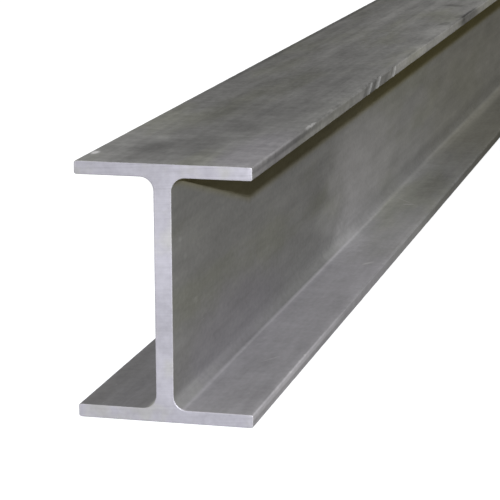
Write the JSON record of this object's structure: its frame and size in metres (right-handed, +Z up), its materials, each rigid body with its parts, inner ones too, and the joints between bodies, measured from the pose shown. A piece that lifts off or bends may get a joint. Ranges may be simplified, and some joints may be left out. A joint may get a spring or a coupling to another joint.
{
  "type": "steel i-beam",
  "caption": "Length of rolled steel I-beam with parallel flanges, filleted web roots and square sawn ends, bare structural stock for carrying floors, lintels and frames.",
  "frame": {"origin": "middle of the underside of the lower flange, half way along the beam", "axes": "+Y along the beam, away from the sawn end that the picture shows; +Z up through the web; +X across the flanges, to the right as seen from that end"},
  "size_m": [0.104, 2, 0.15],
  "materials": {
    "mill_steel": "dull bare mill surface with stains, scratches and a lighter sawn end"
  },
  "bodies": {
    "root": {"i_beam": "mill_steel"}
  },
  "joints": []
}
